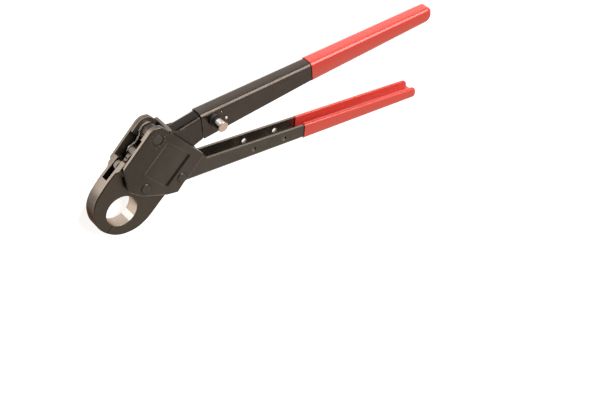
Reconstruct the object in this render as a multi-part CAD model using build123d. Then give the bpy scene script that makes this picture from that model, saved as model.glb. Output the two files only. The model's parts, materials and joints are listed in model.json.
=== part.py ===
from build123d import *
import os
from math import acos, atan2, cos, degrees, hypot, radians, sin, tan

os.makedirs("parts", exist_ok=True)

# ---------------------------------------------------------------- dimensions
# millimetres; origin on the crimp-bore axis at mid thickness, +Z along the
# bore axis out of the front side plate, +X along the fixed handle.

bore_r = 15.0             # closed crimp bore, 1-inch ring
jaw_half = 6.65           # half thickness of both jaws round the bore
plate_in = 9.2            # inner faces of the side plates
plate_out = 12.1          # outer faces of the side plates
plate_boss_in = 7.0       # inner face of the thick corner round the lever pivot
boss_step = 0.4           # step between the thick corner and the plate edge
seam_gap = 0.24           # gap at the closed jaw seam
nose_deg = 232.5          # direction of the jaw seam at the nose

B = (20.35, 19.55)         # jaw pivot rivet
R = (56.05, 18.55)         # fixed-handle rivet
T = (31.55, 65.05)         # lever pivot
K = (17.3, 50.2)          # knuckle between lever and toggle link
C = (2.83, 40.6)          # clevis pin of the moving jaw
ROD = (43.7, 69.0)        # stop bar across the side plates

pivot_r = 3.5             # jaw pivot rivet shank
rivet_r = 3.2             # handle rivet shank
lever_pin_r = 5.0         # lever pivot pin
knuckle_pin_r = 2.8
clevis_pin_r = 2.1
rod_r = 2.1
head_recess = 0.8         # rear rivet heads sit this far below the plate face
head_proud = 0.45         # front rivet heads stand this far above it
head_t = 1.1              # thickness of the rivet heads
pin_recess = 0.35         # lever pivot pin ends below the plate face
panel_deep = 0.8          # depth of the sloping panel at its low side

knuckle_r = 9.5           # jaw hinge cheeks
knuckle_clear_r = 9.9
tongue_half = 2.9
tongue_slot_half = 3.2

clevis_half = 8.7         # thick clevis ears of the moving jaw
slot_half = 3.35          # clevis slot
link_half = 2.8
link_boss_half = 5.1      # bosses of the link on the knuckle pin
fork_half = 5.3           # fork slot of the lever

lever_half = 6.8          # lever inside the head
lever_boss_r = 7.9        # round of the lever about its pivot
lever_end_r = 5.0         # round of the lever about the knuckle
waist_r = 10.0            # hollow between the two rounds
stub_half = 6.9           # lever outside the head
tenon_half = 5.2

sleeve_deg = 9.2          # direction of the outer moving handle
S0 = (76.3, 72.6)         # top corner of its head end
sleeve_half = 7.5         # half width at the head end
sleeve_taper = 0.0052     # half width lost per millimetre of length
sleeve_t = 1.6
extension = 30.0          # how far the outer handle slides out

fixed_half = 8.6          # fixed handle channel
fixed_t = 2.2
hole_r = 2.5              # two cross holes through the fixed handle
hole_x = (133.0, 166.0)
hole_y = 19.3

coat = 0.7                # grip wall outside the channels
coat_in = 1.0             # grip wall inside the channels
grip_x0 = 188.2           # where the fixed grip starts
grip_u0 = 115.6           # where the moving grip starts

plunger_uv = (12.2, -10.1)
stop_uv = (24.1, -14.9)


# ------------------------------------------------------------------- helpers
def polar(c, r, a):
    return (c[0] + r * cos(radians(a)), c[1] + r * sin(radians(a)))


def outline(pts):
    """closed face from corners (x, y, r), each corner rounded with radius r"""
    n = len(pts)
    corners = []
    for i in range(n):
        x, y, r = pts[i]
        px, py, _ = pts[i - 1]
        nx, ny, _ = pts[(i + 1) % n]
        if r <= 0:
            corners.append(((x, y), None, (x, y)))
            continue
        ax, ay, bx, by = px - x, py - y, nx - x, ny - y
        la, lb = hypot(ax, ay), hypot(bx, by)
        ax, ay, bx, by = ax / la, ay / la, bx / lb, by / lb
        ang = acos(max(-1.0, min(1.0, ax * bx + ay * by)))
        t = r / tan(ang / 2)
        d = r / sin(ang / 2)
        hx, hy = ax + bx, ay + by
        lh = hypot(hx, hy)
        m = (x + hx / lh * (d - r), y + hy / lh * (d - r))
        corners.append(((x + ax * t, y + ay * t), m, (x + bx * t, y + by * t)))
    edges = []
    for i in range(n):
        p1, m, p2 = corners[i]
        if m:
            edges.append(ThreePointArc(p1, m, p2))
        q = corners[(i + 1) % n][0]
        if hypot(p2[0] - q[0], p2[1] - q[1]) > 1e-6:
            edges.append(Line(p2, q))
    return make_face(edges)


def poly(pts):
    return outline([(x, y, 0) for x, y in pts])


def slab(face, z0, z1):
    return extrude(Pos(0, 0, z0) * face, amount=z1 - z0, dir=(0, 0, 1))


def disc(c, r, z0, z1):
    return Pos(c[0], c[1], (z0 + z1) / 2) * Cylinder(r, z1 - z0)


def bar(c1, r1, c2, r2, z0, z1):
    """two discs joined by their common tangents"""
    d = hypot(c2[0] - c1[0], c2[1] - c1[1])
    th = degrees(atan2(c2[1] - c1[1], c2[0] - c1[0]))
    f = degrees(acos((r1 - r2) / d))
    quad = poly([polar(c1, r1, th + f), polar(c2, r2, th + f),
                 polar(c2, r2, th - f), polar(c1, r1, th - f)])
    return slab(quad, z0, z1) + disc(c1, r1, z0, z1) + disc(c2, r2, z0, z1)


def stadium(c1, c2, r, z0, z1):
    return bar(c1, r, c2, r * 0.99999, z0, z1)


def uv(u, v):
    """point of the outer moving handle's own axes"""
    a = radians(sleeve_deg)
    return (S0[0] + u * cos(a) - v * sin(a), S0[1] + u * sin(a) + v * cos(a))


def to_uv(p):
    a = radians(sleeve_deg)
    dx, dy = p.X - S0[0], p.Y - S0[1]
    return (dx * cos(a) + dy * sin(a), dy * cos(a) - dx * sin(a))


def half_at(u):
    return sleeve_half - sleeve_taper * u


def wedge(grow):
    """space between the two tapering sides of the outer handle, grown by grow"""
    a = radians(sleeve_deg)
    side = Plane(origin=(S0[0], S0[1], 0), x_dir=(cos(a), sin(a), 0),
                 z_dir=(sin(a), -cos(a), 0))
    h0, h1 = half_at(-20) + grow, half_at(300) + grow
    return extrude(side * poly([(-20, -h0), (300, -h1), (300, h1), (-20, h0)]),
                   amount=120, both=True)


def edges_where(solid, test):
    return [e for e in solid.edges() if test(e.center(), e.length)]


def save(part, name, color=None):
    part.label = name
    export_step(part, f"parts/{name}.step")


# ---------------------------------------------------------------- side plates
plate_corners = [
    (-1.2, 45.7, 3.0), (26.3, 78.0, 10.0), (35.1, 77.0, 5.0),
    (78.6, 34.7, 2.5), (63.6, 16.4, 4.0), (59.1, 12.4, 4.0), (52.9, 4.0, 2.2),
    (42.4, 4.9, 6.0), (16.8, 12.4, 8.0), (7.4, 18.5, 5.0), (3.2, 22.6, 3.0),
]
plate_face = outline(plate_corners)

plate = slab(plate_face, plate_in, plate_out)
# rounded outer rim
top = plate.faces().sort_by(Axis.Z)[-1]
plate = fillet(top.outer_wire().edges(), 0.8)
# thick corner round the lever pivot, on the inner side
band = poly([(17.6, 66.6), (17.6 + 40 * 0.735, 66.6 - 40 * 0.68),
             (90.0, 110.0), (10.0, 110.0)])
boss = (slab(offset(plate_face, amount=-boss_step), plate_boss_in, plate_in)
        & slab(band, plate_boss_in, plate_in)
        & disc(T, 15.3, plate_boss_in, plate_in))
plate += boss
# shallow bare panel between the rivets, deeper towards its sloping lower side
panel_c = (41.3, 36.8)
panel_deg = 48.4
across = Plane(origin=(panel_c[0], panel_c[1], plate_out),
               x_dir=(-sin(radians(panel_deg)), cos(radians(panel_deg)), 0),
               z_dir=(cos(radians(panel_deg)), sin(radians(panel_deg)), 0))
dip = extrude(across * poly([(15.8, 0.5), (15.8, -0.02), (15.0, -0.3), (-13.3, -panel_deep),
                             (-15.8, 0.03), (-15.8, 0.5)]), amount=20, both=True)
panel = dip & (Pos(panel_c[0], panel_c[1], plate_out) * (
    Rot(0, 0, panel_deg) * extrude(RectangleRounded(34.6, 31.4, 3.0), amount=2.0, both=True)))
plate -= panel
# recesses and holes for rivets, pivot pin and stop bar
seat = plate_out - head_recess - head_t
plate -= disc(B, pivot_r + 1.1, seat, plate_out + 1)
plate -= disc(B, pivot_r, 0, plate_out + 1)
plate -= disc(R, rivet_r + 1.1, seat, plate_out + 1)
plate -= disc(R, rivet_r, 0, plate_out + 1)
plate -= disc(T, lever_pin_r, 0, plate_out + 1)
plate -= disc(ROD, rod_r, 0, plate_out + 1)
# index ticks round the lever pivot
for i in range(12):
    a = i * 30.0 + 15.0
    p = polar(T, 7.3, a)
    plate -= Pos(p[0], p[1], plate_out) * (Rot(0, 0, a) * Box(2.0, 0.6, 0.7))

front_plate = plate
rear_plate = mirror(plate, about=Plane.XY)
save(front_plate, "front_plate")
save(rear_plate, "rear_plate")

# ----------------------------------------------------------------------- jaws
cn, sn = cos(radians(nose_deg)), sin(radians(nose_deg))


def arch(u, v):
    """u towards the nose, v towards the fixed side"""
    return (u * cn - v * sn, u * sn + v * cn)


arch_uv = [(-23.8, -30.9), (-19.0, -31.35), (-8.0, -31.6), (0.0, -30.85), (6.2, -28.75),
           (11.25, -25.7), (14.75, -22.4), (18.75, -17.5), (22.25, -10.0),
           (23.6, 0.0), (22.3, 10.05), (18.85, 17.6), (14.85, 22.5),
           (11.3, 25.75), (6.2, 28.85), (0.0, 31.05), (-8.0, 32.4),
           (-19.0, 33.2), (-27.0, 34.0)]
arch_xy = [arch(u, v) for u, v in arch_uv]
E_L, E_R = arch_xy[0], arch_xy[-1]
arm_d = (0.699, 0.715)    # direction of the moving jaw's arm
arch_face = make_face([
    Spline(*arch_xy, tangents=((-arm_d[0], -arm_d[1]), (0.684, 0.729))),
    Line(E_R, (50.0, 7.6)), Line((50.0, 7.6), (50.0, 30.0)),
    Line((50.0, 30.0), (25.0, 30.0)), Line((25.0, 30.0), (8.0, 38.0)),
    Line((8.0, 38.0), E_L),
])
far = (48 * cn, 48 * sn)
g = seam_gap / 2
gx, gy = -0.74 * g, 0.67 * g
left = poly([(far[0] + gx, far[1] + gy), (gx, gy), (B[0] + gx, B[1] + gy),
             polar(B, 60, 110), (-70.0, 76.0), (-70.0, -50.0)])
right = poly([(far[0] - gx, far[1] - gy), (-gx, -gy), (B[0] - gx, B[1] - gy),
              polar(B, 60, 60), (95.0, 71.0), (95.0, -50.0)])

# moving jaw: half bore, hinge tongue, arm and clevis
arm_n = (-arm_d[1], arm_d[0])


def arm_at(a, n):
    """point at a along the arm, n out towards its outer face"""
    return (a * arm_d[0] + n * arm_n[0], a * arm_d[1] + n * arm_n[1])


n_arm = E_L[0] * arm_n[0] + E_L[1] * arm_n[1]
arm_face = outline([E_L + (0,), arm_at(36.6, n_arm) + (1.6,), (6.6, 48.3, 3.0),
                    (9.8, 43.0, 4.0), (9.4, 38.0, 0), (2.0, 30.0, 0)])
core_face = poly([E_L, arm_at(33.0, n_arm), (7.0, 42.0), (9.4, 38.0), (2.0, 30.0)])
# the ears rise from the arm in a short ramp
ramp = Plane(origin=(0, 0, 0), x_dir=(arm_d[0], arm_d[1], 0), z_dir=(arm_d[1], -arm_d[0], 0))
ears = extrude(ramp * outline([
    (25.4, jaw_half - 0.4, 0), (28.4, clevis_half, 2.2), (46.0, clevis_half, 0), (46.0, -clevis_half, 0),
    (28.4, -clevis_half, 2.2), (25.4, -jaw_half + 0.4, 0)]), amount=60, both=True)
ears = ears & slab(arm_face, -clevis_half, clevis_half) & slab(
    poly([arm_at(20, 24), arm_at(60, 24), arm_at(60, 50), arm_at(20, 50)]), -clevis_half, clevis_half)
moving_jaw = slab((arch_face & left) + core_face, -jaw_half, jaw_half)
rim = edges_where(moving_jaw, lambda c, l: abs(abs(c.Z) - jaw_half) < 1e-3 and l > 45)
moving_jaw = fillet(rim, 1.2)
moving_jaw += ears
for z0, z1 in ((tongue_half, 12.0), (-12.0, -tongue_half)):
    moving_jaw -= disc(B, knuckle_clear_r, z0, z1)
moving_jaw += disc(B, 9.3, -tongue_half, tongue_half)
moving_jaw -= disc((0, 0), bore_r, -20, 20)
moving_jaw -= disc(B, pivot_r + 0.05, -20, 20)
moving_jaw -= disc(C, clevis_pin_r, -20, 20)
slot_p = (-13.6, 34.8)
slot_n = (arm_d[1], -arm_d[0])
slot = poly([(slot_p[0] - 30 * slot_n[0], slot_p[1] - 30 * slot_n[1]),
             (slot_p[0] + 30 * slot_n[0], slot_p[1] + 30 * slot_n[1]),
             (slot_p[0] + 30 * slot_n[0] + 50 * arm_d[0], slot_p[1] + 30 * slot_n[1] + 50 * arm_d[1]),
             (slot_p[0] - 30 * slot_n[0] + 50 * arm_d[0], slot_p[1] - 30 * slot_n[1] + 50 * arm_d[1])])
clear_b = disc(B, 11.5, -slot_half, slot_half)
moving_jaw -= slab(slot, -slot_half, slot_half) - clear_b
save(moving_jaw, "moving_jaw")

# fixed jaw: half bore, pad between the plates, tail inside the handle
fixed_jaw = slab(arch_face, -jaw_half, jaw_half) & slab(right, -jaw_half, jaw_half)
rim = edges_where(fixed_jaw, lambda c, l: abs(abs(c.Z) - jaw_half) < 1e-3 and l > 50)
fixed_jaw = fillet(rim, 1.2)
inset = offset(plate_face, amount=-1.2)
pad = (slab(arch_face, -plate_in, plate_in) & slab(right, -plate_in, plate_in)
       & slab(inset, -plate_in, plate_in))
fixed_jaw += pad
fixed_jaw += disc(B, knuckle_r, -plate_in, plate_in)
fixed_jaw -= disc(B, 9.7, -tongue_slot_half, tongue_slot_half)
sweep_cut = poly([B, polar(B, 40, 60), polar(B, 40, 100), polar(B, 40, 150),
                  polar(B, 40, 190), polar(B, 40, 222.0)])
fixed_jaw -= (slab(sweep_cut, -tongue_slot_half, tongue_slot_half))
fixed_jaw += slab(outline([(48.0, 13.4, 0), (76.0, 13.6, 2.0), (76.0, 25.4, 4.0), (48.0, 25.4, 0)]),
                  -5.3, 5.3)
fixed_jaw -= disc((0, 0), bore_r, -20, 20)
fixed_jaw -= disc(B, pivot_r, -20, 20)
fixed_jaw -= disc(R, rivet_r, -20, 20)
save(fixed_jaw, "fixed_jaw")

# --------------------------------------------------------------- rivets, pins
tip = plate_out - head_recess
pin_tip = plate_out - pin_recess


def rivet(c, r):
    body = disc(c, r, -tip, tip)
    front = disc(c, r + 1.1, seat, plate_out + head_proud)
    body += fillet(front.edges().sort_by(Axis.Z)[-1], 0.8)
    rear = disc(c, r + 1.1, seat, tip)
    rear = fillet(rear.edges().sort_by(Axis.Z)[-1], 0.4)
    return body + mirror(rear, about=Plane.XY)


save(rivet(B, pivot_r), "jaw_pivot_rivet")
save(rivet(R, rivet_r), "handle_rivet")

pin = disc(T, lever_pin_r, -pin_tip, pin_tip)
pin = chamfer(pin.edges().filter_by(GeomType.CIRCLE), 0.5)
pin -= Pos(T[0], T[1], -pin_tip) * Box(1.4, 12.0, 2.0)
save(pin, "lever_pivot_pin")

rod = disc(ROD, rod_r, -(plate_out - 0.05), plate_out - 0.05)
rod = fillet(rod.edges().filter_by(GeomType.CIRCLE), 1.2)
save(rod, "stop_bar")

kp = disc(K, knuckle_pin_r, -6.6, 6.6)
kp = chamfer(kp.edges().filter_by(GeomType.CIRCLE), 0.4)
save(kp, "knuckle_pin")

cp = disc(C, clevis_pin_r, -(clevis_half - 0.2), clevis_half - 0.2)
cp = chamfer(cp.edges().filter_by(GeomType.CIRCLE), 0.35)
save(cp, "clevis_pin")

washer = disc(R, 5.8, fixed_half, plate_in) - disc(R, rivet_r, 0, 20)
save(Compound(children=[washer, mirror(washer, about=Plane.XY)]), "spacer_washers")

# ------------------------------------------------------------------- toggle link
dk = hypot(C[0] - K[0], C[1] - K[1])
lx, ly = (C[0] - K[0]) / dk, (C[1] - K[1]) / dk      # along the link
nx, ny = -ly, lx
eye_a = (C[0] + nx * 1.7, C[1] + ny * 1.7)
eye_b = (C[0] - nx * 1.7, C[1] - ny * 1.7)


lobe = (K[0] + 6.2 * lx, K[1] + 6.2 * ly)
link = bar(K, 3.2, C, 3.2, -link_half, link_half) + stadium(eye_a, eye_b, 5.6, -link_half, link_half)
link += disc(lobe, 4.4, -link_half, link_half)
link = fillet(edges_where(link, lambda c, l: abs(abs(c.Z) - link_half) < 1e-3), 1.2)
hub = disc(K, 6.2, -link_boss_half, link_boss_half)
hub = fillet(hub.edges().filter_by(GeomType.CIRCLE), 1.6)
link += hub
link -= disc(K, knuckle_pin_r + 0.05, -20, 20)
link -= stadium(eye_a, eye_b, 4.0, -20, 20)
save(link, "toggle_link")

# ------------------------------------------------------------------------ lever
arc_r = 16.2
lever_body = poly([
    polar(T, arc_r, -3), (50.2, 64.1), uv(-0.35, -1.3), uv(-0.35, -24.4), uv(-1.6, -26.2),
    (71.0, 42.6), (60.0, 39.6), (50.0, 39.6), (40.0, 42.2), (32.0, 46.6),
    (25.0, 47.6), K, T,
])
neck_cut = (disc(T, arc_r, -20, 20) - disc(T, lever_boss_r, -20, 20)) & slab(
    poly([T, polar(T, 40, -56), polar(T, 40, -20), polar(T, 40, 40), polar(T, 40, 80)]), -20, 20)
outside = poly([(46.5, 90.0), (46.5, 63.0), (66.5, 30.0), (110.0, 30.0), (110.0, 90.0)])
head_part = slab(lever_body, -lever_half, lever_half) - slab(outside, -20, 20)
head_part -= neck_cut
# cheeks of the fork: two rounds with a hollow between them on the outer side
tk = hypot(K[0] - T[0], K[1] - T[1])
tx, ty = (K[0] - T[0]) / tk, (K[1] - T[1]) / tk
xa = ((lever_boss_r + waist_r) ** 2 - (lever_end_r + waist_r) ** 2 + tk ** 2) / (2 * tk)
xp = ((lever_boss_r + waist_r) ** 2 - xa ** 2) ** 0.5
X = (T[0] + xa * tx + xp * ty, T[1] + xa * ty - xp * tx)
cheek = bar(T, lever_boss_r, K, lever_end_r, fork_half, lever_half) - disc(X, waist_r, 0, 20)
thick = slab(lever_body, -stub_half, stub_half) & slab(outside, -stub_half, stub_half)
thick -= neck_cut
ridge = edges_where(thick, lambda c, l: abs(abs(c.Z) - stub_half) < 1e-3 and c.Y > 66.5 and l > 15)
thick = fillet(ridge, 4.2)
lower = edges_where(thick, lambda c, l: abs(abs(c.Z) - stub_half) < 1e-3 and c.Y < 46 and l > 6)
thick = fillet(lower, 1.2)
lever = head_part + thick + disc(T, lever_boss_r, -fork_half, fork_half)
tenon = slab(outline([uv(-3.0, -2.15) + (0,), uv(68.0, -3.75) + (2.0,), uv(68.0, -19.3) + (5.0,),
                      uv(-3.0, -19.3) + (0,)]), -tenon_half, tenon_half)
lever += tenon
# fork slot that the toggle link swings in
sector = poly([K] + [polar(K, 34, a) for a in range(66, 241, 12)])
fork = slab(sector, -fork_half, fork_half) - disc(T, lever_boss_r - 0.5, -20, 20)
fork += disc(K, 10.0, -fork_half, fork_half)
lever -= fork
cheek = fillet(edges_where(cheek, lambda c, l: True if abs(c.Z - fork_half) < 1e-3 else False), 1.0)
lever += cheek
lever += mirror(cheek, about=Plane.XY)
lever -= disc(T, lever_pin_r + 0.05, -20, 20)
lever -= disc(K, knuckle_pin_r, -20, 20)
# guide groove, detents and stop slot in the tenon
u0, v0 = plunger_uv
lever -= stadium(uv(u0, v0), uv(u0 + extension, v0), 2.4, 2.9, 10)
for u in (u0, u0 + extension):
    lever -= disc(uv(u, v0), 1.8, -0.5, 10)
u1, v1 = stop_uv
lever -= stadium(uv(u1, v1), uv(u1 + extension, v1), 1.9, -20, 20)
save(lever, "lever")

# ------------------------------------------------------------ outer moving handle

handle_u = 249.6          # length of the outer handle channel


def uv_outline(pts):
    return outline([uv(u, v) + (r,) for u, v, r in pts])


def top_v(u):
    """height of the outer handle's closed edge"""
    return 0.35 - 0.0199 * u


outer = slab(uv_outline([
    (0.0, top_v(0), 0), (handle_u, top_v(handle_u), 3.6), (handle_u, -15.0, 0),
    (119.0, -17.9, 0), (115.4, -19.4, 0), (36.0, -23.4, 0),
    (0.0, -25.5, 0.8)]), -20, 20) & wedge(0)


def on_side(grow, c):
    return abs(abs(c.Z) - half_at(to_uv(c)[0]) - grow) < 0.02


ridge = edges_where(outer, lambda c, l: on_side(0, c) and l > 20 and to_uv(c)[1] > -9.0)
outer = fillet(ridge, 4.3)
inner = slab(uv_outline([
    (-5.0, top_v(-5) - sleeve_t, 0), (300.0, top_v(300) - sleeve_t, 0),
    (300.0, -60.0, 0), (-5.0, -60.0, 0)]), -20, 20) & wedge(-sleeve_t)
inner = fillet(edges_where(inner, lambda c, l: on_side(-sleeve_t, c) and l > 100 and to_uv(c)[1] > -12.0), 1.6)
handle = outer - inner
PX = uv(*plunger_uv)
SX = uv(*stop_uv)
handle -= disc(PX, 3.8, 0, 20)
handle -= disc(SX, 1.6, -20, 20)
handle -= disc(uv(19.9, -6.6), 0.9, 0, 20)
save(handle, "outer_handle")

stop = disc(SX, 1.6, -(half_at(24) - 0.1), half_at(24) + 0.6)
stop = fillet(stop.edges().sort_by(Axis.Z)[-1], 1.2)
save(stop, "extension_stop_pin")

guide = disc(uv(19.9, -6.6), 0.9, half_at(20) - sleeve_t + 0.1, half_at(20) + 0.4)
guide = fillet(guide.edges().sort_by(Axis.Z)[-1], 0.6)
save(guide, "guide_pin")

# grip: a dipped coat that follows the channel inside and out
blank = slab(uv_outline([
    (60.0, top_v(60) + coat, 0), (handle_u + 3.2, top_v(handle_u + 3.2) + coat, 5.4),
    (handle_u + 3.2, -19.0, 8.0), (60.0, -22.7, 0)]), -20, 20) & wedge(coat)
blank = blank & slab(poly([uv(grip_u0, 40), uv(300, 40), uv(300, -60), uv(grip_u0, -60)]),
                     -30, 30)
rim = edges_where(blank, lambda c, l: on_side(coat, c) and to_uv(c)[0] > grip_u0 + 1.0)
blank = fillet(rim, 4.2)
groove = slab(uv_outline([
    (90.0, top_v(90) - sleeve_t - coat_in, 0), (300.0, top_v(300) - sleeve_t - coat_in, 0),
    (300.0, -60.0, 0), (90.0, -60.0, 0)]), -20, 20) & wedge(-sleeve_t - coat_in)
blank -= groove & slab(poly([uv(90, 40), uv(250.6, 40), uv(250.6, -70), uv(90, -70)]), -30, 30)
lips = edges_where(blank, lambda c, l: on_side(-sleeve_t - coat_in, c) and l > 40
                   and to_uv(c)[1] < -12.0)
blank = fillet(lips, 0.7)
grip = blank - handle
save(grip, "moving_grip")

# ----------------------------------------------------------------- lock plunger
body = disc(PX, 5.8, sleeve_half, 10.2)
body = fillet(body.edges().sort_by(Axis.Z)[-1], 0.6)
body += disc(PX, 3.3, 10.0, 15.8)
body += disc(PX, 3.8, sleeve_half - sleeve_t + 0.1, sleeve_half)
body -= disc(PX, 2.2, 0, 8.1)
body -= disc(PX, 2.5, 8.0, 14.8)
body -= disc(PX, 1.15, 14, 20)
save(body, "plunger_body")

nose = disc(PX, 2.1, 3.2, 8.6)
nose = fillet(nose.edges().sort_by(Axis.Z)[0], 0.9)
nose += disc(PX, 1.1, 8.5, 19.6)
save(nose, "plunger_pin")

knob = disc(PX, 4.9, 14.2, 21.7)
knob = fillet(knob.edges().sort_by(Axis.Z)[-1], 0.7)
knob = chamfer(knob.edges().sort_by(Axis.Z)[0], 0.4)
knob -= disc(PX, 3.6, 0, 16.6)
knob -= disc(PX, 1.1, 0, 19.6)
save(knob, "plunger_knob")

wire_r, coil_r = 0.3, 1.8
z_a, z_b = 8.6 + wire_r + 0.02, 14.8 - wire_r - 0.02
turns = 5.0
path = Helix(pitch=(z_b - z_a) / turns, height=z_b - z_a, radius=coil_r)
prof = Plane(origin=path @ 0, z_dir=path % 0) * Circle(wire_r)
spring = Pos(PX[0], PX[1], z_a) * sweep(prof, path=path)
save(spring, "plunger_spring")

# ------------------------------------------------------------------ fixed handle
channel = slab(outline([
    (50.2, 29.0, 0), (72.0, 32.8, 0), (79.3, 32.8, 0.8), (83.8, 26.8, 0.8), (188.0, 26.2, 0),
    (191.5, 25.4, 0), (315.4, 24.6, 4.6), (315.4, 16.5, 3.2), (176.0, 12.4, 400.0), (62.0, 9.6, 0),
    (50.2, 9.6, 0)]), -fixed_half, fixed_half)
under = edges_where(channel, lambda c, l: abs(abs(c.Z) - fixed_half) < 1e-3 and l > 8
                    and c.Y < 18.0 and c.X < 312)
channel = fillet(under, 2.6)
hollow = slab(outline([(40.0, 9.6 + fixed_t, 0), (62.0, 9.6 + fixed_t, 0),
                       (176.0, 12.4 + fixed_t, 400.0), (330.0, 17.0 + fixed_t, 0),
                       (330.0, 60.0, 0), (40.0, 60.0, 0)]),
              -(fixed_half - fixed_t), fixed_half - fixed_t)
channel -= hollow
channel -= disc(R, rivet_r, -20, 20)
for x in hole_x:
    channel -= disc((x, hole_y), hole_r, -20, 20)
save(channel, "fixed_handle")

blank = slab(outline([
    (60.0, 28.1, 0), (318.6, 26.3, 4.8), (318.6, 15.7, 3.4),
    (176.0, 12.4 - coat, 400.0), (62.0, 9.6 - coat, 0)]),
    -(fixed_half + coat), fixed_half + coat)
blank = blank & slab(poly([(grip_x0, -20), (340, -20), (340, 60), (grip_x0, 60)]), -30, 30)
rim = edges_where(blank, lambda c, l: abs(abs(c.Z) - (fixed_half + coat)) < 1e-3
                  and c.X > grip_x0 + 1.0)
blank = fillet(rim, 2.6)
groove_half = fixed_half - fixed_t - coat_in
blank -= slab(poly([(100.0, 12.4 + fixed_t + coat_in), (176.0, 12.4 + fixed_t + coat_in),
                    (330.0, 17.3 + fixed_t + coat_in), (330.0, 60.0), (100.0, 60.0)]),
              -groove_half, groove_half)
lips = edges_where(blank, lambda c, l: abs(abs(c.Z) - groove_half) < 1e-3 and l > 40
                   and c.Y > 24.0)
blank = fillet(lips, 1.2)
save(blank - channel, "fixed_grip")
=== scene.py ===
import json
import math

import bpy
from mathutils import Matrix, Vector

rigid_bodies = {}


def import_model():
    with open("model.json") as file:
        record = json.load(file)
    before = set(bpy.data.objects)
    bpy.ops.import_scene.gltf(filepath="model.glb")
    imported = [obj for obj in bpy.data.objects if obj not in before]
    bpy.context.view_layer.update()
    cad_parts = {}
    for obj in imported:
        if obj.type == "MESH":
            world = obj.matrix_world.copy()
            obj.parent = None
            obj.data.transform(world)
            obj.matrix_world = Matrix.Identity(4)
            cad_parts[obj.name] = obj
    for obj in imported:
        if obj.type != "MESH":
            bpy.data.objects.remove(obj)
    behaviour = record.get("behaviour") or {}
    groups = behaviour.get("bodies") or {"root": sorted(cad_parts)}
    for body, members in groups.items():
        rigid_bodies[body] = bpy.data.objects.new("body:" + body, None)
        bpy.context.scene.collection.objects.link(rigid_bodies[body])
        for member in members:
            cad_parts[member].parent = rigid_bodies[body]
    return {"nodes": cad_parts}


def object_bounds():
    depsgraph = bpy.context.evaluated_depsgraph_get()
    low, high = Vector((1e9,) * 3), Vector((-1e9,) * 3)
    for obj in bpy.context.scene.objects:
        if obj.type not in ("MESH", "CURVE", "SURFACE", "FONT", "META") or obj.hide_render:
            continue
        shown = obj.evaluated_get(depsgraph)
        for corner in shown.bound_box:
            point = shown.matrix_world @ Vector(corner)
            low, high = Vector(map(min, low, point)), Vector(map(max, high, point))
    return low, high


for o in list(bpy.data.objects):
    bpy.data.objects.remove(o)
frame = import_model()
nodes = frame["nodes"]
cad_box = [list(v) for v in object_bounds()]
scene = bpy.context.scene


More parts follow.
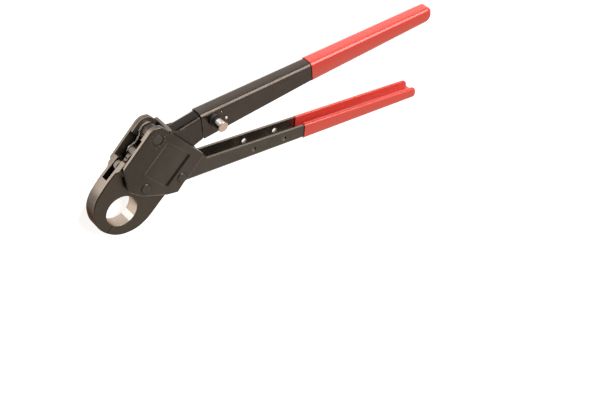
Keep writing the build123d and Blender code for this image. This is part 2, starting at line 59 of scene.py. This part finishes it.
# ------------------------------------------------------------------ node helpers
class Graph:
    """a material's node tree with short calls for the nodes used here"""

    def __init__(self, name):
        self.mat = bpy.data.materials.new(name)
        self.mat.use_nodes = True
        self.t = self.mat.node_tree
        self.t.nodes.clear()
        self.out = self.t.nodes.new("ShaderNodeOutputMaterial")
        self.bsdf = self.t.nodes.new("ShaderNodeBsdfPrincipled")
        self.link(self.bsdf.outputs["BSDF"], self.out.inputs["Surface"])
        self.coord = self.t.nodes.new("ShaderNodeTexCoord").outputs["Object"]

    def link(self, a, b):
        self.t.links.new(a, b)

    def put(self, socket, value):
        if isinstance(value, bpy.types.NodeSocket):
            self.link(value, socket)
        else:
            socket.default_value = value

    def math(self, op, a, b=0.0, clamp=False):
        n = self.t.nodes.new("ShaderNodeMath")
        n.operation = op
        n.use_clamp = clamp
        self.put(n.inputs[0], a)
        self.put(n.inputs[1], b)
        return n.outputs[0]

    def vec(self, op, a, b=None):
        n = self.t.nodes.new("ShaderNodeVectorMath")
        n.operation = op
        self.put(n.inputs[0], a)
        if b is not None:
            self.put(n.inputs[1], b)
        return n.outputs["Value"] if op in ("LENGTH", "DOT_PRODUCT", "DISTANCE") else n.outputs["Vector"]

    def mapped(self, scale=(1, 1, 1), rot=(0, 0, 0), loc=(0, 0, 0)):
        n = self.t.nodes.new("ShaderNodeMapping")
        self.link(self.coord, n.inputs["Vector"])
        n.inputs["Scale"].default_value = scale
        n.inputs["Rotation"].default_value = rot
        n.inputs["Location"].default_value = loc
        return n.outputs["Vector"]

    def noise(self, scale, detail=3.0, rough=0.55, vector=None, distort=0.0):
        n = self.t.nodes.new("ShaderNodeTexNoise")
        self.link(vector if vector is not None else self.coord, n.inputs["Vector"])
        n.inputs["Scale"].default_value = scale
        n.inputs["Detail"].default_value = detail
        n.inputs["Roughness"].default_value = rough
        n.inputs["Distortion"].default_value = distort
        return n.outputs["Fac"]

    def span(self, value, a, b, c=0.0, d=1.0, smooth=False):
        n = self.t.nodes.new("ShaderNodeMapRange")
        n.clamp = True
        if smooth:
            n.interpolation_type = "SMOOTHSTEP"
        self.put(n.inputs["Value"], value)
        n.inputs["From Min"].default_value = a
        n.inputs["From Max"].default_value = b
        n.inputs["To Min"].default_value = c
        n.inputs["To Max"].default_value = d
        return n.outputs["Result"]

    def mix(self, fac, a, b, mode="MIX"):
        n = self.t.nodes.new("ShaderNodeMix")
        n.data_type = "RGBA"
        n.blend_type = mode
        self.put(n.inputs["Factor"], fac)
        for name, v in (("A", a), ("B", b)):
            s = [i for i in n.inputs if i.name == name and i.type == "RGBA"][0]
            self.put(s, v if isinstance(v, bpy.types.NodeSocket) else (*v, 1.0))
        return [o for o in n.outputs if o.type == "RGBA"][0]

    def bevel(self, radius, samples=6):
        n = self.t.nodes.new("ShaderNodeBevel")
        n.samples = samples
        n.inputs["Radius"].default_value = radius
        return n.outputs["Normal"]

    def edge(self, radius, low=0.995, high=0.90, samples=6):
        """1 on sharp edges, 0 on flat faces"""
        g = self.t.nodes.new("ShaderNodeNewGeometry")
        d = self.vec("DOT_PRODUCT", self.bevel(radius, samples), g.outputs["Normal"])
        return self.span(d, low, high)

    def bump(self, height, distance, strength=1.0, normal=None):
        n = self.t.nodes.new("ShaderNodeBump")
        n.inputs["Strength"].default_value = strength
        n.inputs["Distance"].default_value = distance
        self.link(height, n.inputs["Height"])
        if normal is not None:
            self.link(normal, n.inputs["Normal"])
        return n.outputs["Normal"]

    def xyz(self):
        n = self.t.nodes.new("ShaderNodeSeparateXYZ")
        self.link(self.coord, n.inputs[0])
        return n.outputs[0], n.outputs[1], n.outputs[2]

    def normal(self):
        g = self.t.nodes.new("ShaderNodeNewGeometry")
        n = self.t.nodes.new("ShaderNodeSeparateXYZ")
        self.link(g.outputs["Normal"], n.inputs[0])
        return n.outputs[0], n.outputs[1], n.outputs[2]

    def set(self, **values):
        for k, v in values.items():
            self.put(self.bsdf.inputs[k.replace("_", " ")], v)


def rgb(r, g, b):
    return (r, g, b)


# -------------------------------------------------------------------- materials
def oxide(name, dark, light, rough=(0.30, 0.44), grain=1500.0, grain_mm=0.0035, wear=0.5,
          second_tone=(0.50, 0.45, 0.40), metallic=0.92, bore=False, streak=None, top_shade=None,
          edge_mm=0.45, plate=False, side_shade=None):
    """blackened steel: mottled warm grey, fine grain, edges rubbed brighter; optional masks paint shade,
    highlights and reflections by position and facing
    """
    g = Graph(name)
    blot = g.span(g.noise(70.0, 4.0, 0.6), 0.32, 0.68)
    fine = g.noise(900.0, 2.0, 0.5)
    colour = g.mix(blot, dark, light)
    colour = g.mix(g.math("MULTIPLY", g.span(fine, 0.35, 0.75), 0.35), colour, light)
    edge = g.edge(edge_mm * 1e-3)
    rub = g.math("MULTIPLY", edge, g.span(g.noise(260.0, 3.0, 0.6), 0.35, 0.62, 0.25, 1.0))
    rub = g.math("MULTIPLY", rub, wear)
    if plate:
        # painted shade: the rub fades out on rims facing up-left (-X,+Y), the jaw side, and stays on the handle
        # side and on the ticks round the lever pivot
        geo = g.t.nodes.new("ShaderNodeNewGeometry")
        lean = g.vec("DOT_PRODUCT", geo.outputs["Normal"], (-0.65, 0.76, 0.0))
        ticks = g.span(g.vec("DISTANCE", g.coord, (0.03155, 0.06505, 0.0121)), 0.0095, 0.0105, 0.65, 0.0)
        rub = g.math("MAXIMUM", g.math("MULTIPLY", rub, g.span(lean, 0.04, 0.30, 1.0, 0.08)),
                     g.math("MULTIPLY", ticks, edge))
    if top_shade is not None:
        # the edge rub, partly a painted highlight on the cheek rims inside the head, fades out on the stub outside
        # the head
        rub = g.math("MULTIPLY", rub, g.span(g.xyz()[0], 0.034, 0.042, 1.0, 0.12))
    colour = g.mix(rub, colour, second_tone)
    roughness = g.math("ADD", g.span(g.noise(180.0, 3.0, 0.6), 0.3, 0.7, rough[0], rough[1]),
                       g.math("MULTIPLY", rub, -0.08))
    height = g.noise(grain, 3.0, 0.6)
    if streak is not None:
        lines = g.noise(1.0, 2.0, 0.5, vector=g.mapped(scale=streak[0], rot=streak[1]))
        height = g.math("ADD", height, g.math("MULTIPLY", lines, streak[2]))
        roughness = g.math("ADD", roughness, g.span(lines, 0.3, 0.7, -0.05, 0.05))
    normal = g.bump(height, grain_mm * 1e-3, 1.0, g.bevel(0.00022))
    if bore:
        x, y, z = g.xyz()
        c = g.t.nodes.new("ShaderNodeCombineXYZ")
        g.link(x, c.inputs[0])
        g.link(y, c.inputs[1])
        # painted shade on the outer wall of the nose, deepening downwards, with a painted brown reflection lowest
        wall = g.span(g.math("ABSOLUTE", g.normal()[2]), 0.35, 0.75, 1.0, 0.0)
        down = g.vec("DOT_PRODUCT", g.coord, (-0.42, -0.9, 0.0))
        patch = g.math("MULTIPLY", wall, g.span(g.noise(160.0, 3.0, 0.6), 0.25, 0.7, 0.82, 1.0))
        grey = g.math("MULTIPLY", patch, g.span(down, -0.0180, -0.0065, 0.0, 0.9, True))
        colour = g.mix(grey, colour, (0.052, 0.045, 0.040))
        brown = g.math("MULTIPLY", patch, g.span(down, 0.000, 0.016, 0.0, 0.95, True))
        colour = g.mix(brown, colour, (0.122, 0.080, 0.060))
        # dirt along the closed seam at the nose
        seam = g.math("ABSOLUTE", g.vec("DOT_PRODUCT", c.outputs[0], (0.7934, -0.6088, 0.0)))
        seam = g.math("MULTIPLY", g.span(seam, 0.00025, 0.00075, 0.8, 0.0),
                      g.span(g.vec("DOT_PRODUCT", c.outputs[0], (-0.6088, -0.7934, 0.0)), 0.010, 0.012))
        colour = g.mix(seam, colour, (0.062, 0.052, 0.043))
        # bare machined bore, with one painted highlight strip
        inside = g.span(g.vec("LENGTH", c.outputs[0]), 0.01506, 0.01512, 1.0, 0.0)
        ring = g.noise(1.0, 2.0, 0.5, vector=g.mapped(scale=(60, 60, 5200)))
        steel = g.mix(g.span(ring, 0.3, 0.7), (0.49, 0.405, 0.335), (0.60, 0.50, 0.42))
        turn = g.math("ARCTAN2", y, x)
        highlight_strip = g.math("MULTIPLY", g.span(turn, math.radians(-61.0), math.radians(-59.5)),
                       g.span(turn, math.radians(-38.0), math.radians(-36.5), 1.0, 0.0))
        steel = g.mix(highlight_strip, steel, (0.97, 0.94, 0.90))
        colour = g.mix(inside, colour, steel)
        roughness = g.math("ADD", g.math("MULTIPLY", roughness, g.math("SUBTRACT", 1.0, inside)),
                           g.math("MULTIPLY", inside, g.span(ring, 0.3, 0.7, 0.18, 0.28)))
    if plate:
        # painted shade in the low side of the panel and round the rivets
        mid = (0.0413, 0.0368, 0.0)
        off = g.vec("SUBTRACT", g.coord, mid)
        s = g.vec("DOT_PRODUCT", off, (-0.7478, 0.6639, 0.0))
        t = g.math("ABSOLUTE", g.vec("DOT_PRODUCT", off, (0.6639, 0.7478, 0.0)))
        panel_and_rivet_shade = g.math("MULTIPLY", g.span(s, -0.0160, -0.0155), g.span(s, -0.0137, -0.0122, 1.0, 0.0, True))
        panel_and_rivet_shade = g.math("MULTIPLY", panel_and_rivet_shade, g.span(t, 0.0160, 0.0173, 1.0, 0.0))
        x, y, z = g.xyz()
        flat = g.t.nodes.new("ShaderNodeCombineXYZ")
        g.link(x, flat.inputs[0])
        g.link(y, flat.inputs[1])
        for c, r, much in (((0.02035, 0.01955, 0.0), 0.0046, 0.85), ((0.05605, 0.01855, 0.0), 0.0043, 0.85),
                           ((0.03155, 0.06505, 0.0), 0.0050, 0.5)):
            reach = g.vec("DISTANCE", flat.outputs[0], c)
            panel_and_rivet_shade = g.math("MAXIMUM", panel_and_rivet_shade, g.math("MULTIPLY", g.span(reach, r + 0.0003, r + 0.0009, much, 0.0),
                                                  g.span(reach, r - 0.0006, r - 0.0003)))
        panel_and_rivet_shade = g.math("MULTIPLY", panel_and_rivet_shade, g.span(g.noise(420.0, 3.0, 0.6), 0.25, 0.6, 0.7, 1.0))
        colour = g.mix(panel_and_rivet_shade, colour, (0.058, 0.049, 0.040))
        # painted highlight along the lower edge by the jaws
        d1 = g.vec("DOT_PRODUCT", g.vec("SUBTRACT", g.coord, (0.0168, 0.0124, 0.0)), (0.2811, 0.9596, 0.0))
        d2 = g.vec("DOT_PRODUCT", g.vec("SUBTRACT", g.coord, (0.0074, 0.0185, 0.0)), (0.5447, 0.8390, 0.0))
        lower_edge_highlight = g.span(g.math("MINIMUM", d1, d2), 0.0004, 0.0011, 0.9, 0.0, True)
        lower_edge_highlight = g.math("MULTIPLY", lower_edge_highlight, g.span(g.noise(260.0, 3.0, 0.6), 0.30, 0.60, 0.6, 1.0))
        colour = g.mix(lower_edge_highlight, colour, (0.46, 0.41, 0.345))
        # painted shade over the round top of the front plate
        nx, ny, nz = g.normal()
        top = g.math("MULTIPLY", g.span(ny, 0.70, 0.92, 0.0, 0.7, True), g.span(z, 0.002, 0.004))
        colour = g.mix(top, colour, (0.055, 0.046, 0.038))
        # painted shade: the flat faces darken towards the upper left (-X,+Y)
        shade = g.math("MULTIPLY", g.span(s, -0.006, 0.014, 0.0, 0.25), g.span(g.math("ABSOLUTE", nz), 0.80, 0.95))
        colour = g.mix(shade, colour, (0.006, 0.005, 0.004))
        # painted light: the inner faces of the plates are made less metallic, so more diffuse, to lift the shaded
        # interior
        inner = g.span(g.math("MULTIPLY", z, nz), -0.004, -0.0065)
        colour = g.mix(inner, colour, (0.105, 0.088, 0.073))
        metallic = g.math("SUBTRACT", metallic, g.math("MULTIPLY", inner, 0.6))
    if top_shade is not None:
        # painted shade on the upward-facing faces and the ridge of the lever
        nx, ny, nz = g.normal()
        up = g.span(ny, 0.78, 0.93, 0.0, 1.0, True)
        wall = g.span(g.math("ABSOLUTE", nz), 0.2, 0.4, 1.0, 0.0)
        up = g.math("MAXIMUM", up, g.math("MULTIPLY", wall, g.span(ny, 0.35, 0.75, 0.0, 0.9, True)))
        ridge_shade = g.math("MULTIPLY", g.span(ny, 0.25, 0.45), g.span(g.xyz()[0], 0.034, 0.042, 0.42, 0.95))
        colour = g.mix(ridge_shade, colour, top_shade)
        colour = g.mix(g.math("MULTIPLY", up, g.span(blot, 0.0, 1.0, 0.85, 1.0)), colour, top_shade)
        # painted shade deepening towards the ridge of the stub
        x, y, z = g.xyz()
        stub_ridge_shade = g.math("MULTIPLY", g.span(z, -0.0050, 0.0060, 0.0, 0.5), g.span(x, 0.036, 0.042))
        colour = g.mix(g.math("MULTIPLY", stub_ridge_shade, up), colour, (0.008, 0.007, 0.006))
        # painted highlight on the rim of the rear fork cheek, lighter and less metallic
        cheek_rim_highlight = g.math("MULTIPLY", g.span(z, -0.0045, -0.0052), g.span(x, 0.036, 0.032))
        cheek_rim_highlight = g.math("MULTIPLY", cheek_rim_highlight, g.span(nz, 0.75, 0.95, 1.0, 0.0))
        colour = g.mix(cheek_rim_highlight, colour, (0.56, 0.485, 0.41))
        metallic = g.math("SUBTRACT", metallic, g.math("MULTIPLY", cheek_rim_highlight, 0.6))
    if side_shade is not None:
        # painted shade on the narrow sides, deepening towards the ridge
        nz = g.math("ABSOLUTE", g.normal()[2])
        z = g.xyz()[2]
        side = g.span(z, -0.0065, 0.0030, side_shade[0], side_shade[1])
        ridge_shade = g.span(nz, 0.12, 0.35)
        keep = g.math("ADD", g.math("MULTIPLY", side, g.math("SUBTRACT", 1.0, ridge_shade)),
                      g.math("MULTIPLY", ridge_shade, side_shade[2]))
        keep = g.math("MAXIMUM", keep, g.span(nz, 0.80, 0.97))
        colour = g.mix(keep, (0.004, 0.0035, 0.003), colour)
    g.set(Base_Color=colour, Roughness=roughness, Normal=normal, Metallic=metallic)
    return g.mat


def vinyl(name, origin, up, top, bottom, deep, pale):
    """dipped red vinyl: soft orange-peel skin, painted shade on the narrow side and the inner faces, a few dull
    scuffs
    """
    g = Graph(name)
    cloud = g.span(g.noise(38.0, 3.0, 0.55), 0.3, 0.7)
    colour = g.mix(cloud, (0.76, 0.070, 0.045), (0.82, 0.084, 0.055))
    # the wide sides are deeper red under the ridge and paler towards the lower edge
    drop = g.span(g.vec("DOT_PRODUCT", g.vec("SUBTRACT", g.coord, origin), up), top, bottom)
    wide = g.span(g.math("ABSOLUTE", g.normal()[2]), 0.6, 0.9)
    second_tone = g.mix(drop, deep, pale)
    # painted shade: darker red on the inner faces of the channel
    inner = g.span(g.math("MULTIPLY", g.xyz()[2], g.normal()[2]), -0.001, -0.003)
    second_tone = g.mix(inner, second_tone, (0.66, 0.069, 0.050))
    colour = g.mix(g.math("MULTIPLY", wide, 0.85), colour, second_tone)
    # painted shade on the narrow side, deepening towards the ridge
    nx, ny, nz = g.normal()
    side = g.math("MULTIPLY", g.span(g.math("ABSOLUTE", nz), 0.25, 0.5, 1.0, 0.0), g.span(ny, 0.4, 0.7))
    grip_top_shade = g.math("MULTIPLY", side, g.span(g.xyz()[2], -0.0075, 0.0040, 0.15, 0.70))
    colour = g.mix(grip_top_shade, colour, (0.76, 0.012, 0.006))
    scuff = g.math("MULTIPLY", g.span(g.noise(320.0, 5.0, 0.7, distort=0.6), 0.60, 0.74),
                   g.span(g.noise(22.0, 2.0, 0.5), 0.52, 0.66))
    colour = g.mix(g.math("MULTIPLY", scuff, 0.22), colour, (0.80, 0.16, 0.13))
    roughness = g.math("ADD", g.span(g.noise(120.0, 3.0, 0.6), 0.3, 0.7, 0.20, 0.28),
                       g.math("MULTIPLY", scuff, 0.16))
    height = g.math("ADD", g.noise(340.0, 2.0, 0.5), g.math("MULTIPLY", g.noise(1900.0, 2.0, 0.5), 0.16))
    normal = g.bump(height, 0.000018, 1.0, g.bevel(0.0004))
    g.set(Base_Color=colour, Roughness=roughness, Normal=normal, Metallic=0.0)
    g.bsdf.inputs["IOR"].default_value = 1.52
    g.bsdf.inputs["Coat Weight"].default_value = 0.4
    g.bsdf.inputs["Coat Roughness"].default_value = 0.14
    g.bsdf.inputs["Coat IOR"].default_value = 1.5
    return g.mat


def chrome(name):
    """turned and plated knob: faint turning rings, light and dark lengthwise streaks painted on the barrel as
    reflections
    """
    g = Graph(name)
    ring = g.noise(1.0, 2.0, 0.5, vector=g.mapped(scale=(120, 120, 4200)))
    smear = g.span(g.noise(420.0, 3.0, 0.6), 0.35, 0.7)
    # painted reflection: light and dark lengthwise streaks on the barrel
    streak = g.span(g.noise(1.0, 2.0, 0.5, vector=g.mapped(scale=(380, 380, 8))), 0.36, 0.64)
    colour = g.mix(streak, (0.15, 0.138, 0.122), (0.84, 0.80, 0.74))
    colour = g.mix(g.math("MULTIPLY", smear, 0.2), colour, (0.30, 0.27, 0.24))
    roughness = g.math("ADD", g.span(ring, 0.3, 0.7, 0.10, 0.18), g.math("MULTIPLY", smear, 0.07))
    # satin, pinkish end face, less metallic
    face = g.span(g.normal()[2], 0.90, 0.98)
    colour = g.mix(face, colour, g.mix(smear, (0.97, 0.72, 0.59), (0.91, 0.67, 0.54)))
    roughness = g.math("ADD", roughness, g.math("MULTIPLY", face, 0.2))
    metallic = g.math("SUBTRACT", 1.0, g.math("MULTIPLY", face, 0.45))
    normal = g.bump(ring, 0.000004, 1.0, g.bevel(0.0002))
    g.set(Base_Color=colour, Roughness=roughness, Normal=normal, Metallic=metallic)
    return g.mat


def satin_black(name):
    """black collar of the plunger"""
    g = Graph(name)
    cloud = g.span(g.noise(300.0, 3.0, 0.6), 0.3, 0.7)
    colour = g.mix(cloud, (0.034, 0.028, 0.024), (0.056, 0.047, 0.041))
    colour = g.mix(g.math("MULTIPLY", g.edge(0.0003), 0.45), colour, (0.30, 0.28, 0.26))
    roughness = g.span(g.noise(700.0, 2.0, 0.5), 0.3, 0.7, 0.30, 0.44)
    normal = g.bump(g.noise(1800.0, 2.0, 0.5), 0.000008, 1.0, g.bevel(0.0002))
    g.set(Base_Color=colour, Roughness=roughness, Normal=normal, Metallic=0.3)
    return g.mat


def steel(name, low=(0.42, 0.385, 0.35), high=(0.58, 0.54, 0.50), metallic=1.0):
    """bright inner pins and spring"""
    g = Graph(name)
    lines = g.noise(1.0, 3.0, 0.6, vector=g.mapped(scale=(900, 900, 240)))
    colour = g.mix(g.span(lines, 0.3, 0.7), low, high)
    roughness = g.span(lines, 0.3, 0.7, 0.20, 0.34)
    normal = g.bump(lines, 0.000006, 1.0, g.bevel(0.0002))
    g.set(Base_Color=colour, Roughness=roughness, Normal=normal, Metallic=metallic)
    return g.mat


DARK, LIGHT = (0.154, 0.128, 0.103), (0.176, 0.147, 0.119)
plate_m = oxide("plate_oxide", DARK, LIGHT, rough=(0.27, 0.37), grain=1300.0, grain_mm=0.0045, wear=0.7,
                edge_mm=0.9, plate=True)
jaw_m = oxide("jaw_oxide", DARK, LIGHT, rough=(0.27, 0.37), grain=1100.0, grain_mm=0.005, bore=True)
jaw_m.node_tree.nodes["Principled BSDF"].inputs["Specular Tint"].default_value = (0.30, 0.24, 0.22, 1.0)
# the lever's full, bright edge rub is partly a painted highlight on its cheek rims inside the head
lever_m = oxide("lever_oxide", (0.128, 0.103, 0.088), (0.152, 0.124, 0.106), rough=(0.22, 0.31), wear=1.0,
                second_tone=(0.66, 0.60, 0.53), top_shade=(0.037, 0.030, 0.025))
lever_m.node_tree.nodes["Principled BSDF"].inputs["Specular IOR Level"].default_value = 0.2
link_m = oxide("link_oxide", (0.095, 0.081, 0.069), (0.13, 0.113, 0.098), rough=(0.18, 0.28), wear=0.3)
rivet_m = oxide("rivet_oxide", (0.145, 0.123, 0.104), (0.185, 0.158, 0.134), rough=(0.26, 0.36), wear=0.1)
rod_m = oxide("stop_bar_oxide", (0.13, 0.112, 0.095), (0.165, 0.142, 0.121), rough=(0.24, 0.34), wear=0.3)
a = math.radians(9.2)
tube_m = oxide("handle_oxide", (0.138, 0.111, 0.093), (0.162, 0.131, 0.111), rough=(0.22, 0.31),
               streak=((60, 1600, 1600), (0, 0, -a), 0.5), wear=0.3, side_shade=(0.66, 0.38, 0.50))
tube2_m = oxide("fixed_handle_oxide", (0.160, 0.137, 0.111), (0.194, 0.167, 0.137), rough=(0.26, 0.36),
                streak=((60, 1600, 1600), (0, 0, 0), 0.5), wear=0.12)
red_m = vinyl("moving_vinyl_dip", (0.0763, 0.0726, 0.0), (-math.sin(a), math.cos(a), 0.0), -0.004, -0.016,
              (0.86, 0.052, 0.031), (0.76, 0.115, 0.080))
red2_m = vinyl("fixed_vinyl_dip", (0.0, 0.0, 0.0), (0.0, 1.0, 0.0), 0.0245, 0.0155,
               (0.92, 0.088, 0.058), (0.84, 0.122, 0.084))
chrome_m = chrome("knob_plating")
collar_m = satin_black("collar_black")
steel_m = steel("pin_steel")
stop_m = steel("stop_pin_plating", (0.88, 0.86, 0.81), (0.96, 0.94, 0.90), 0.45)

finish = {
    "front_plate": plate_m, "rear_plate": plate_m, "fixed_jaw": jaw_m, "moving_jaw": jaw_m,
    "lever": lever_m, "toggle_link": link_m, "knuckle_pin": steel_m, "clevis_pin": steel_m,
    "jaw_pivot_rivet": rivet_m, "handle_rivet": rivet_m, "lever_pivot_pin": rivet_m, "stop_bar": rod_m,
    "spacer_washers": rivet_m, "extension_stop_pin": stop_m, "guide_pin": steel_m, "outer_handle": tube_m, "fixed_handle": tube2_m,
    "plunger_body": collar_m, "plunger_knob": chrome_m, "plunger_pin": steel_m, "plunger_spring": steel_m,
    "moving_grip": red_m, "fixed_grip": red2_m,
}
for name, mat in finish.items():
    me = nodes[name].data
    me.materials.clear()
    me.materials.append(mat)

# ------------------------------------------------------------------------- stage
floor_z = cad_box[0][2] - 0.00002
me = bpy.data.meshes.new("floor")
s = 4.0
me.from_pydata([(-s, -s, floor_z), (s, -s, floor_z), (s, s, floor_z), (-s, s, floor_z)], [], [(0, 1, 2, 3)])
floor = bpy.data.objects.new("floor", me)
scene.collection.objects.link(floor)
g = Graph("floor_paper")
g.set(Base_Color=g.mix(g.noise(40.0, 3.0, 0.5), (0.90, 0.895, 0.885), (0.93, 0.925, 0.92)),
      Roughness=g.span(g.noise(300.0, 2.0, 0.5), 0.3, 0.7, 0.6, 0.75))
g.bsdf.inputs["Emission Color"].default_value = (1.0, 0.985, 0.965, 1.0)
# painted pool of light: extra floor emission at the left-back of the head
along = g.vec("DOT_PRODUCT", g.coord, (-0.8, 0.6, 0.0))
light_pool = g.math("MULTIPLY", g.span(along, 0.018, 0.052, 0.0, 2.0, True), g.span(along, 0.09, 0.17, 1.0, 0.0, True))
g.put(g.bsdf.inputs["Emission Strength"], g.math("ADD", light_pool, 0.80))
me.materials.append(g.mat)

world = bpy.data.worlds.new("studio")
scene.world = world
world.use_nodes = True
bg = world.node_tree.nodes["Background"]
bg.inputs["Color"].default_value = (1.0, 0.955, 0.91, 1.0)
wn = world.node_tree.nodes
wl = world.node_tree.links
sky = wn.new("ShaderNodeTexCoord")
facing = wn.new("ShaderNodeVectorMath")
facing.operation = "DOT_PRODUCT"
wl.new(sky.outputs["Generated"], facing.inputs[0])
facing.inputs[1].default_value = (0.64, -0.75, 0.15)
dome = wn.new("ShaderNodeMapRange")
dome.interpolation_type = "SMOOTHSTEP"
wl.new(facing.outputs["Value"], dome.inputs["Value"])
dome.inputs["From Min"].default_value = 0.0
dome.inputs["From Max"].default_value = 0.75
dome.inputs["To Min"].default_value = 0.06
dome.inputs["To Max"].default_value = 0.405
low = wn.new("ShaderNodeMapRange")
low.interpolation_type = "SMOOTHSTEP"
wl.new(facing.outputs["Value"], low.inputs["Value"])
low.inputs["From Min"].default_value = 0.945
low.inputs["From Max"].default_value = 0.99
low.inputs["To Min"].default_value = 0.0
low.inputs["To Max"].default_value = 1.2
total = wn.new("ShaderNodeMath")
total.operation = "ADD"
wl.new(dome.outputs["Result"], total.inputs[0])
wl.new(low.outputs["Result"], total.inputs[1])
wl.new(total.outputs[0], bg.inputs["Strength"])

centre = Vector((0.13, 0.045, 0.0))


def softbox(name, direction, distance, size, power, colour=(1, 1, 1)):
    d = Vector(direction).normalized()
    data = bpy.data.lights.new(name, "AREA")
    data.shape = "RECTANGLE"
    data.size, data.size_y = size
    data.energy = power
    data.color = colour
    ob = bpy.data.objects.new(name, data)
    scene.collection.objects.link(ob)
    ob.location = centre + d * distance
    ob.rotation_mode = "QUATERNION"
    ob.rotation_quaternion = d.to_track_quat("Z", "Y")
    return ob


softbox("key", (0.36, 0.62, 0.70), 1.5, (0.85, 1.2), 20.8, (1.0, 0.98, 0.955))

# ------------------------------------------------------------------------ camera
cam = bpy.data.cameras.new("camera")
cam.sensor_fit = "HORIZONTAL"
cam.sensor_width = 36.0
cam.lens = 92.43
cam.clip_start, cam.clip_end = 0.05, 20.0
camera = bpy.data.objects.new("camera", cam)
scene.collection.objects.link(camera)
camera.matrix_world = Matrix((
    (0.80814, 0.30040, -0.50662, -0.53608),
    (0.07347, 0.80202, 0.59276, 0.79206),
    (0.58439, -0.51625, 0.62608, 0.90672),
    (0, 0, 0, 1)))
scene.camera = camera

scene.view_settings.view_transform = "Standard"
scene.view_settings.look = "None"
scene.view_settings.exposure = 0.0
scene.view_settings.gamma = 1.0
